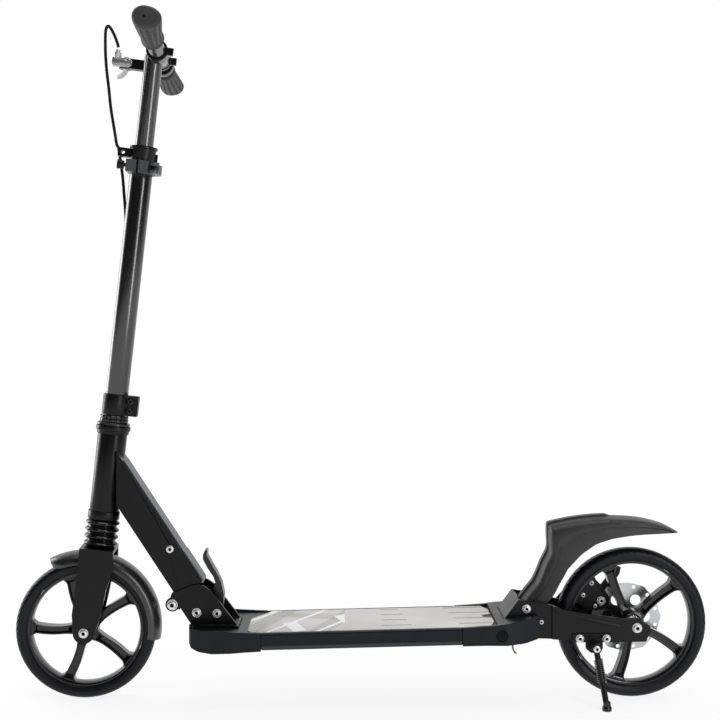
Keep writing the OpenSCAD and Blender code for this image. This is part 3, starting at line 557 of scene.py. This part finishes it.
def front_fender():
    """A thin curved shell over the front wheel, narrowed to a rounded tip, with a rolled lower edge."""
    start, stop = math.radians(-3.2), math.radians(122.3)
    sections = []
    steps = 90
    for i in range(steps + 1):
        t = i / steps
        angle = start + (stop - start) * t
        tip = max(0.0, (t - 0.90) / 0.10)
        shrink = math.sqrt(max(0.04, 1 - 0.7 * tip ** 2.4))
        outer, inner = [], []
        for k in range(-14, 15):
            u = k / 14
            turn = abs(u) * math.pi / 2
            y = FENDER_WIDE * math.copysign(math.sin(turn) ** 0.92, u) * shrink
            drop = FENDER_DROP * (1 - math.cos(turn) ** 0.75) * (0.4 + 0.6 * shrink)
            edge = 0.5 * max(0.0, (abs(u) - 0.93) / 0.07)
            rolled = 2.2 * max(0.0, abs(u) - 0.8) / 0.2 - edge
            outer.append((FENDER_R - drop, y))
            inner.append((FENDER_R - 2.3 - drop * 0.99 + rolled, y * 0.91))
        ring = outer + inner[::-1]
        sections.append([(r * math.cos(angle), y, r * math.sin(angle)) for r, y in ring])
    where = FRONT_HUB @ Matrix.Translation(FENDER_MID)
    shell = rings(sections)
    boss = lathe([(0.01, FENDER_R - 1.5), (7, FENDER_R - 1.5), (7, 107.7), (0.01, 107.7)], 32, about="Z")
    points, faces = merged(shell, moved(boss, x=9.1))
    piece("front_mudguard", points, faces, where, "fender_gloss", "fork", "fender_plastic",
          ("front_fender",), 40)


CROWN_LINE = [
    (216.5, 120), (216.5, 132), (228, 148.6), (239.5, 163.5), (250, 188), (258.2, 205.5), (258.2, 222),
    (258.2, 234), (259.5, 240.2), (266, 242.3), (276, 244.6), (293, 247.8), (316, 250.6), (338, 251.8),
    (346, 249.4), (370, 248.2), (392, 245.4), (417, 238.8), (436.5, 229)
]
SKIRT_LINE = [
    (235.5, 119.4), (242, 123.4), (250, 128.5), (264, 143.5), (272, 158.5), (278, 169), (283.5, 179),
    (287, 183), (289, 185.5), (292, 188.5), (302, 199), (312, 206.4), (324, 214), (340, 219.3),
    (347, 221.2), (368, 224.6), (388, 226.5), (410, 227.6), (423, 228.4)
]
FENDER_HALF = 28.0


def fender_section(crown, skirt):
    """One closed section of the rear fender, between a crown point and a skirt point."""
    down = skirt - crown
    depth = down.length
    way = down / depth
    thin = min(1.0, depth / 26)
    step = (0.4 + 2.4 * min(1.0, max(0.0, (345 - crown.x) / 8))) * thin
    outer = [
        (0, 0.0, 0), (6.0, 0.0, 0), (7.4, 0.0, step), (13, 0.01, step + 0.5), (19, 0.03, step + 1.0),
        (23.6, 0.09, step + 1.4), (26.2, 0.20, step + 1.0), (27.3, 0.36, 1.5), (27.5, 0.44, 0.5),
        (26.6, 0.49, 0.3), (27.2, 0.56, 0), (FENDER_HALF, 0.98, 0), (FENDER_HALF, 1.0, 0)
    ]
    inner = [
        (25.4, 1.0, 0), (25.2, 0.60, 0), (24.6, 0.44, 1.5), (23.0, 0.26, 4.4), (20.4, 0.12, 6.4),
        (16, 0.05, 6.4), (8, 0.02, 5.6), (0, 0.0, 4.6)
    ]
    half = [(y, fraction * depth + extra * thin) for y, fraction, extra in outer]
    half_inner = [(y, fraction * depth + extra * thin) for y, fraction, extra in inner]
    right = half + half_inner
    left = [(-y, d) for y, d in reversed(right[1:-1])]
    return [
        (crown.x + way.x * min(d, depth), y, crown.y + way.y * min(d, depth)) for y, d in right + left
    ]


def rear_fender():
    """The foot brake: a thick curved shell from the hinge to a pointed tail."""
    crown = curve_through(CROWN_LINE, 5)
    skirt = curve_through(SKIRT_LINE, 5)
    points, faces = rings([fender_section(c, s) for c, s in zip(crown, skirt)])
    piece("rear_mudguard", points, faces, WORLD, "fender_plastic", "rear_fender", "fender_plastic",
          ("rear_fender",), 32)


front_fender()
rear_fender()


# ------------------------------------------------------------------ grips
GRIP_IN, GRIP_OUT = 98.0, 219.5
BAR_X = 6.4


def middle_on_axis(node):
    """Middle height of a node along the steering axis, in millimetres."""
    back = AXIS.inverted()
    heights = [(back @ v.co).z for v in frame["nodes"][node].data.vertices]
    return (min(heights) + max(heights)) / 2


BAR_Z = middle_on_axis("bar_fittings")
BAR = AXIS @ Matrix.Translation((BAR_X, 0, BAR_Z))


def grip_ring(s):
    """Flange, then a body that swells into a flat palm wing behind the bar: back, front, up, down."""
    if s < 0.07:
        flange = 15.3 - 1.5 * abs(s - 0.035) / 0.035
        return flange, flange, flange, flange
    swell = math.sin((s - 0.07) / 0.93 * math.pi * 0.62)
    wing = max(0.0, (s - 0.12) / 0.88) ** 1.3
    end = 1 - 0.20 * max(0.0, (s - 0.955) / 0.045) ** 2
    body = 13.4 + 1.6 * swell
    return (body + 6.3 * wing) * end, (body + 0.5 * wing) * end, (body - 1.2 * wing) * end, \
        (body + 0.4 * wing) * end


def grip(name, side, replaced):
    """A rubber grip with rows of shallow oval dents, and a near-black disc in its end: painted shade for a
    vent hole.
    """
    steps, count = 110, 132
    sections = []
    for k in range(steps + 1):
        s = k / steps
        back, front, up, down = grip_ring(s)
        section = []
        for i in range(count):
            angle = TURN * i / count
            cos, sin = math.cos(angle), math.sin(angle)
            wide, high = (back if cos > 0 else front), (up if sin > 0 else down)
            row = round(angle / (TURN / 14))
            across = (angle - row * TURN / 14) * 15.0
            beads = ((GRIP_OUT - GRIP_IN) * s - 14 + (4.0 if row % 2 else 0)) % 8.0
            inside = ((beads - 4.0) / 3.0) ** 2 + (across / 1.7) ** 2
            sink = 1 - (0.055 if 0.10 < s < 0.93 and inside < 1 else 0.0)
            section.append((wide * cos * sink, side * (GRIP_IN + (GRIP_OUT - GRIP_IN) * s),
                            high * sin * sink))
        sections.append(section)
    points, faces = rings(sections)
    # painted shade: a near-black disc set into the grip's end where the vent hole shows dark
    hole = lathe([(0.01, side * (GRIP_OUT - 1)), (1.7, side * (GRIP_OUT - 1)),
                  (1.7, side * (GRIP_OUT + 0.05)), (0.01, side * (GRIP_OUT + 0.05))], 20)
    piece(name, points, faces, BAR, "grip_rubber", "handlebar", "grip_rubber", (replaced,), 35)
    piece(name + "_vent_shade", *hole, BAR, "hole_dark", "handlebar", "grip_rubber")


grip("grip_near", -1, "grip_left")
grip("grip_far", 1, "grip_right")


# ------------------------------------------------------------------ brake cable
CABLE_R = 2.2
BAR_ROUTE = [
    (-339.3, 52.9, 904.5), (-341.5, 53, 912), (-345, 53.5, 921), (-349.5, 54, 930),
    (-354, 54.5, 934.6), (-357.3, 54, 929), (-357.9, 53, 912), (-357, 50, 893), (-355, 47, 871),
    (-351.4, 43, 845.5), (-347.8, 39, 816.5), (-342.5, 34, 788), (-337.5, 27, 764)
]
STEM_ROUTE = [
    (-335, 26, 760), (-332, 26, 740), (-329, 25, 718), (-327, 24, 695), (-325, 23, 670),
    (-324, 22, 640), (-325, 22, 605), (-327, 22, 570), (-330, 22, 530), (-333, 23, 490),
    (-336, 25, 455), (-338, 28, 425), (-339, 30, 395), (-340, 31, 365)
]
FRAME_ROUTE = [
    (-340, 31, 361), (-338, 31, 340), (-331, 29, 315), (-320, 28, 290), (-305, 28, 262),
    (-288, 28, 235), (-271, 29, 209), (-256, 30, 186), (-246, 31, 168), (-240, 33, 152)
]
DECK_ROUTE = [
    (-239, 34, 148), (-234, 35, 135), (-225, 37, 122), (-214, 39, 110), (-202, 41, 99.4),
    (-188, 43, 93.6), (-170, 44, 91.4), (-145, 44, 91), (-110, 44, 92), (-70, 44, 93), (-30, 44, 94),
    (10, 44, 95), (50, 44, 96), (90, 44, 97), (130, 44, 97), (160, 46, 96), (185, 49, 95),
    (215, 53, 94), (240, 55, 95), (258, 55, 101), (272, 53, 112), (284, 51, 126), (296, 49, 140),
    (309, 47, 153), (322, 46, 163), (334, 46, 168), (342, 46, 168.5)
]


def cable_run(name, route, body, replaced):
    """One length of the brake cable's housing."""
    line = curve_through(route, 5)
    points, faces = swept(line, CABLE_R, 12)
    return piece(name, points, faces, WORLD, "cable_black", body, "cable_black", (replaced,), 60)


def cables():
    """Four lengths of housing. Three of them run across where two bodies meet and belong to no body."""
    cable_run("brake_cable_deck", DECK_ROUTE, "deck", "cable_deck")
    front = cable_run("brake_cable_frame", FRAME_ROUTE + DECK_ROUTE[:1], None, "cable_frame")
    stem = cable_run("brake_cable_stem", STEM_ROUTE + FRAME_ROUTE[:1], None, "cable_stem")
    bar = cable_run("brake_cable_bar", BAR_ROUTE + STEM_ROUTE[:1], None, "cable_bar")
    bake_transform(front)
    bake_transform(stem)
    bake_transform(bar)


cables()


# ------------------------------------------------------------------ kickstand
def kickstand():
    """A bent wire leg with a torsion spring round it and an eye round its pivot."""
    pivot = Vector(joints["kickstand_swing"]["pos_m"]) / MM
    top, foot = Vector((317, -57.5, 76)), Vector((327, -75, 9))
    way = (foot - top).normalized()
    side = way.cross(Y).normalized()
    other = way.cross(side)
    leg = swept([top - way * 4, top, foot], 4, 20)
    turns, steps = 12, 16
    start, length = 12.0, 30.0
    line = []
    for k in range(turns * steps + 1):
        t = k / (turns * steps)
        angle = TURN * turns * t
        along = top + way * (start + length * t)
        line.append(along + 5.2 * (side * math.cos(angle) + other * math.sin(angle)))
    spring = swept(line, 1.0, 8)
    eye_low, eye_high = -65.4, -51.4
    eye = lathe([(7, eye_low), (7, eye_high), (3.1, eye_high), (3.1, eye_low)], 40)
    points, faces = merged(leg, moved(eye, pivot.x, 0, pivot.z))
    bevelled(piece("stand_leg", points, faces, WORLD, "steel_black", "kickstand", "steel_black",
                   ("kickstand_leg",), 40), 0.5)
    piece("stand_spring", *spring, WORLD, "spring_black", "kickstand", "steel_black", (), 60)


def stand_foot():
    """A low flat pad at the end of the leg, with a sleeve round the wire."""
    low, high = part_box("kickstand_foot")
    middle = (low + high) / 2 / MM
    pad = lathe([(0.01, 0.2), (5.6, 0.2), (6.3, 0.9), (6.4, 5.2), (5.8, 6.4), (0.01, 6.4)], 40, about="Z")
    sleeve = lathe([(4.1, 6.0), (5.1, 6.0), (4.9, 12.0), (4.1, 12.6)], 32, about="Z")
    points, faces = moved(merged(pad, sleeve), middle.x, middle.y)
    piece("stand_pad", points, faces, WORLD, "soft_rubber", "kickstand", "soft_rubber",
          ("kickstand_foot",), 35)


def cap_hole_shade():
    """A near-black disc 1.2 mm inside the round hole in the rear cap's near side: painted shade for the dark
    of the hole.
    """
    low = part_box("rear_cap")[0].y / MM + 1.2
    hole = lathe([(0.01, low), (7.6, low), (7.6, low + 0.4), (0.01, low + 0.4)], 48)
    points, faces = moved(hole, 189, 0, 99)
    piece("rear_cap_hole", points, faces, WORLD, "hole_dark", "deck", "cap_plastic")


def arm_ribs():
    """A rib pressed along the outer face of each rear arm."""
    first, last, half = Vector((266, 124.5)), Vector((352, 104.5)), 2.6
    along = (last - first).normalized()
    side = Vector((-along.y, along.x))
    outline = []
    for end, base in ((last, -90), (first, 90)):
        for k in range(9):
            turn = math.radians(base + 180 * k / 8)
            outline.append(end + half * (along * math.cos(turn) + side * math.sin(turn)))
    parts = []
    for face, out in ((-42, -1), (42, 1)):
        sections = []
        for grow, lift in ((1.0, 0.0), (0.86, 0.55), (0.55, 0.75)):
            ring = []
            for point in outline:
                near = first if (point - first).length < (point - last).length else last
                flat = near + (point - near) * grow
                ring.append((flat.x, face + out * lift, flat.y))
            sections.append(ring)
        parts.append(rings(sections))
    piece("arm_ribs", *merged(*parts), WORLD, "steel_black", "deck", "steel_black", (), 50)


kickstand()
stand_foot()
cap_hole_shade()
arm_ribs()


# ------------------------------------------------------------------ screws and pins
def head(x, z, face, out, radius, high, washer=0.0):
    """A domed screw head on a face at Y = face, pointing to out (-1 or 1), with a hex socket."""
    base = face + out * washer
    wide = radius * (0.84 if washer else 0.97)
    socket = wide * 0.46
    profile = [(0.01, base + out * high * 0.35), (socket, base + out * high * 0.35),
               (socket, base + out * high * 0.92), (socket * 1.12, base + out * high),
               (wide * 0.72, base + out * high * 0.97), (wide * 0.90, base + out * high * 0.80),
               (wide, base + out * high * 0.45), (wide, base)]
    if washer:
        profile += [(radius * 0.98, base), (radius * 0.98, face)]
    profile.append((0.01, face))

    def hexed(angle, along, r):
        if abs(r - socket) > 1e-6:
            return 0.0
        turn = (angle + TURN / 12) % (TURN / 6) - TURN / 12
        return socket * (0.90 / math.cos(turn) - 1)
    return moved(lathe(profile, 60, hexed), x, 0, z)


def painted_socket_shade(x, z, face, out, radius, high, washer=0.0):
    """A near-black disc on the floor of such a socket: painted shade in the recess."""
    wide = radius * (0.84 if washer else 0.97) * 0.42
    level = face + out * (washer + high * 0.37)
    floor = [(0.01, level), (wide, level), (wide, level + out * 0.12), (0.01, level + out * 0.12)]
    return moved(lathe(floor, 24), x, 0, z)


def shank(x, z, radius, low, high):
    """A plain bolt shank along Y."""
    return moved(lathe([(0.01, low), (radius, low), (radius, high), (0.01, high)], 32), x, 0, z)


def screws(node, where, body, heads, shanks, finish="zinc"):
    """Replaces a node of screws by detailed ones and paints shade into their sockets with near-black discs.
    """
    parts = [head(*each) for each in heads] + [shank(*each) for each in shanks]
    piece(node + "_screws", *merged(*parts), where, finish, body, "zinc", (node,), 30)
    # painted shade: a near-black disc on each socket's floor
    dark = merged(*[painted_socket_shade(*each) for each in heads])
    piece(node + "_sockets", *dark, where, "hole_dark", body, "zinc")


def pair(x, z, face, radius, high, washer=0.0):
    """The same head on both sides."""
    return [(x, z, -face, -1, radius, high, washer), (x, z, face, 1, radius, high, washer)]


# Each head: X, Z, the face's Y, the side it points to, its radius, its height and its washer's.
# Each shank: X, Z, its radius and its two ends in Y.
screws("fold_pin", WORLD, "deck", pair(-221, 121, 27, 6.4, 3.3, 0.8), [(-221, 121, 5, -27, 27)])
screws("lock_pin", WORLD, "deck", pair(-254, 132, 27, 7.4, 4.8, 1.2) + pair(-193.5, 120, 27, 6.0, 2.4, 0.8),
       [(-254, 132, 4, -27, 27), (-193.5, 120, 3, -27, 27)])
screws("tube_bolt", TUBE, "front_frame", pair(16, 92, 22, 5.4, 2.6), [(16, 92, 3, -22, 22)])
screws("front_axle", FRONT_HUB, "fork", pair(0, 0, 34, 6.6, 3.6, 0.9), [(0, 0, 4, -34, 34)])
screws("rear_axle", REAR_HUB, "deck", pair(0, 0, 42, 6.6, 3.6, 0.9), [(0, 0, 4, -42, 42)])
screws("deck_bolts", WORLD, "deck",
       [(297, 89, -45.5, -1, 5.6, 2.9, 0.6), (333, 89, -45.5, -1, 5.6, 2.9, 0.6),
        (316, 80, -66, -1, 4.8, 2.9, 0)]
       + pair(226, 128, 38, 5.8, 3.2, 0.8) + pair(246, 110, 38, 3.2, 2.2),
       [(297, 89, 2.5, -45.5, -37), (333, 89, 2.5, -45.5, -37), (316, 80, 3, -66, -42),
        (226, 128, 3, -38, 38), (246, 110, 2, -38, -32), (246, 110, 2, 32, 38)])
screws("clamp_bolts", AXIS, "stem",
       [(20.5, z, -9.5, -1, 4.1, 3.4, 0) for z in (398.5, 411.5)],
       [(20.5, z, 2.5, -9.5, 11) for z in (398.5, 411.5)], "lever_black")


def caliper_screws():
    """Three screws and the fixed pad's adjuster on the caliper's wheel side."""
    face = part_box("caliper_body")[0].y / MM
    heads = [(-62, 32, face, -1, 3.6, 2.0), (-50, 49, face, -1, 3.6, 2.0), (-45, 17, face, -1, 3.0, 1.8),
             (-36, 24, face + 1.4, -1, 6.2, 2.4, 0.5)]
    piece("caliper_screws", *merged(*[head(*each) for each in heads]), REAR_HUB, "zinc", "deck", "zinc",
          (), 30)
    # painted shade: near-black discs on the socket floors
    piece("caliper_sockets", *merged(*[painted_socket_shade(*each) for each in heads]), REAR_HUB, "hole_dark",
          "deck", "zinc")


def lever_perch():
    """The bright cast end of the lever's bracket, a rounded block with a collar for the adjuster."""
    back = AXIS.inverted()
    corners = [back @ v.co for v in frame["nodes"]["lever_bracket"].data.vertices]
    front = min(c.x for c in corners)
    near = min(c.y for c in corners if c.x < front + 20)
    heights = [c.z for c in corners if c.x < front + 1]
    low, high = min(heights) - 0.7, max(heights) + 0.7
    outline = rounded([(front - 0.7, low), (front + 24, low), (front + 28, low + 3), (front + 28, high - 3),
                       (front + 24, high), (front - 0.7, high)], 3.2)
    middle = Vector((front + 13.5, (low + high) / 2))
    sections = []
    for depth, shrink in ((7.4, 1.0), (0.6, 1.0), (-0.2, 0.97), (-0.8, 0.88)):
        sections.append([
            (middle.x + (x - middle.x) * shrink, near + depth, middle.y + (z - middle.y) * shrink)
            for x, z in outline
        ])
    block = rings(sections)
    recess = lathe([(0.01, near - 1.5), (2.4, near - 1.5), (3.3, near - 0.9), (3.3, near), (0.01, near)], 32)
    boss = moved(recess, front + 18, 0, middle.y)
    piece("lever_perch", *merged(block, boss), AXIS, "perch_alloy", "handlebar", "zinc", (), 32)


caliper_screws()
lever_perch()


# ------------------------------------------------------------------ headset nuts
def headset():
    """A wide lower ring and a notched lock nut above it."""
    def notches(angle, along, radius):
        return -1.5 if radius > 18 and along > 381.5 and (angle / TURN * 18) % 1.0 < 0.34 else 0.0
    ring = lathe([(14.1, 376.5), (21.4, 376.5), (22.4, 377.4), (22.4, 379.9), (21.2, 380.9), (14.1, 380.9)],
                 72, about="Z")
    nut = lathe([(14.1, 381.0), (18.4, 381.0), (19.3, 382.0), (19.4, 385.0), (18.6, 386.4), (19.2, 387.6),
                 (19.2, 389.6), (18.4, 390.6), (14.1, 390.6)], 144, notches, about="Z")
    piece("headset_lock_nuts", *merged(ring, nut), AXIS, "soft_rubber", "stem", "steel_black",
          ("headset_nuts",), 30)


headset()


# ------------------------------------------------------------------ CAD nodes that stay
KEPT = {
    "alloy_black": ("frame_tube", "fork", "steerer_tube"),
    "tube_polish": ("handlebar", "stem_tube"),
    "steel_black": ("fold_bracket", "rear_bracket", "kickstand_bracket", "caliper_body",
                    "stem_clamp", "headset_cups", "caliper_arm"),
    "deck_paint": ("deck_extrusion",),
    "deck_print": ("deck_mat",),
    "cap_plastic": ("front_cap", "rear_cap"),
    "zinc": ("rear_spacers", "front_spacers", "cable_adjuster"),
    "spring_steel": ("deck_hook",),
    "bearing_steel": ("front_bearings", "rear_bearings", "headset_bearings"),
    "disc_steel": ("brake_disc",),
    "lever_alloy": ("brake_lever",),
    "grey_plastic": ("quick_release_lever", "height_collar"),
    "cover_print": ("tube_cover",),
    "lever_black": ("fold_lever",),
    "black_plastic": ("top_collar", "bar_fittings", "lever_bracket", "quick_release_bolt",
                      "height_bush"),
    "pad_compound": ("brake_pads",),
}
BEVELS = {
    "front_cap": 2.5, "rear_cap": 2.0, "deck_extrusion": 1.2, "deck_mat": 0.3, "fork": 1.6,
    "frame_tube": 1.6, "brake_lever": 1.4, "fold_lever": 1.6,
    "quick_release_lever": 1.0, "brake_disc": 0.25, "headset_bearings": 0.3,
    "caliper_body": 1.0, "rear_bracket": 0.8, "stem_clamp": 1.0, "top_collar": 0.9,
    "lever_bracket": 1.2, "handlebar": 1.0,
}
SMALL_BEVEL = 0.5
for material_name, names in KEPT.items():
    for node_name in names:
        node = frame["nodes"][node_name]
        node.data.materials.clear()
        node.data.materials.append(MATERIALS[material_name])
        bevelled(node, BEVELS.get(node_name, SMALL_BEVEL))


# ------------------------------------------------------------------ camera, light and floor
EYE = Vector((-0.0127, -1.740, 0.4914))
YAW = math.radians(0.453)
PITCH = math.radians(0.906)
LENS = 63.2


def camera():
    data = bpy.data.cameras.new("camera")
    data.lens = LENS
    data.sensor_width = 36
    made = bpy.data.objects.new("camera", data)
    made.location = EYE
    made.rotation_euler = (math.pi / 2 - PITCH, 0, -YAW)
    bpy.context.scene.collection.objects.link(made)
    bpy.context.scene.camera = made


def softbox(name, position, target, size, power):
    """A soft rectangular lamp that the camera doesn't see."""
    data = bpy.data.lights.new(name, "AREA")
    data.shape = "RECTANGLE"
    data.size, data.size_y = size
    data.energy = power
    made = bpy.data.objects.new(name, data)
    made.location = position
    way = Vector(target) - Vector(position)
    made.rotation_euler = way.to_track_quat("-Z", "Y").to_euler()
    made.visible_camera = False
    bpy.context.scene.collection.objects.link(made)


def floor_paint():
    """Pale paint that turns to plain white light away from the object, so no horizon shows."""
    material, tree, shader = nodes_of("floor_paint")
    where = add(tree, "ShaderNodeTexCoord")
    length = add(tree, "ShaderNodeVectorMath", operation="LENGTH")
    tree.links.new(where.outputs["Object"], length.inputs[0])
    far = ranged(tree, length.outputs["Value"], 0.82, 1.0, 0.35, 1.3)
    shader.inputs["Base Color"].default_value = (0.9, 0.9, 0.9, 1)
    shader.inputs["Roughness"].default_value = 0.8
    glow = add(tree, "ShaderNodeEmission", Strength=1.04)
    mix = add(tree, "ShaderNodeMixShader")
    tree.links.new(far, mix.inputs[0])
    tree.links.new(shader.outputs[0], mix.inputs[1])
    tree.links.new(glow.outputs[0], mix.inputs[2])
    tree.links.new(mix.outputs[0], tree.nodes["Material Output"].inputs["Surface"])
    return material


def room():
    """A wide shell that darkens the side in front of the object, so black surfaces stay black. The
    camera doesn't see it: it sees the plain white world from every side."""
    radius, across, up = 60.0, 48, 24
    sections = []
    for i in range(1, up):
        polar = math.pi * i / up
        sections.append([
            (radius * math.sin(polar) * math.cos(TURN * k / across),
             radius * math.sin(polar) * math.sin(TURN * k / across), radius * math.cos(polar))
            for k in range(across)
        ])
    points, faces = rings(sections)
    mesh = bpy.data.meshes.new("room")
    mesh.from_pydata(points, [], faces)
    material, tree, _ = nodes_of("room_glow")
    where = add(tree, "ShaderNodeTexCoord")
    split = add(tree, "ShaderNodeSeparateXYZ")
    tree.links.new(where.outputs["Object"], split.inputs[0])
    behind = ranged(tree, split.outputs[1], 0.035, 1.0, -0.05 * radius, 0.5 * radius)
    glow = add(tree, "ShaderNodeEmission")
    tree.links.new(behind, glow.inputs["Strength"])
    tree.links.new(glow.outputs[0], tree.nodes["Material Output"].inputs["Surface"])
    material.cycles.emission_sampling = "NONE"
    mesh.materials.append(material)
    made = bpy.data.objects.new("room", mesh)
    made.visible_camera = False
    bpy.context.scene.collection.objects.link(made)


def studio():
    floor_mesh = bpy.data.meshes.new("floor")
    reach = 30.0
    floor_mesh.from_pydata(
        [(-reach, -reach, 0), (reach, -reach, 0), (reach, reach, 0), (-reach, reach, 0)], [],
        [(0, 1, 2, 3)])
    floor = bpy.data.objects.new("floor", floor_mesh)
    floor_mesh.materials.append(floor_paint())
    bpy.context.scene.collection.objects.link(floor)
    world = bpy.data.worlds.new("studio")
    bpy.context.scene.world = world
    world.use_nodes = True
    background = world.node_tree.nodes["Background"]
    background.inputs["Color"].default_value = (1, 1, 1, 1)
    background.inputs["Strength"].default_value = 1.0
    room()
    softbox("key_right", (1.15, -1.75, 0.75), (-0.1, 0, 0.45), (0.42, 1.7), 17)
    softbox("top", (0.1, -0.5, 2.6), (0, 0, 0.2), (1.8, 1.0), 22)
    softbox("left_back", (-1.9, 0.9, 0.7), (-0.2, 0, 0.5), (0.8, 1.8), 24)
    bpy.context.scene.view_settings.view_transform = "Standard"


camera()
studio()
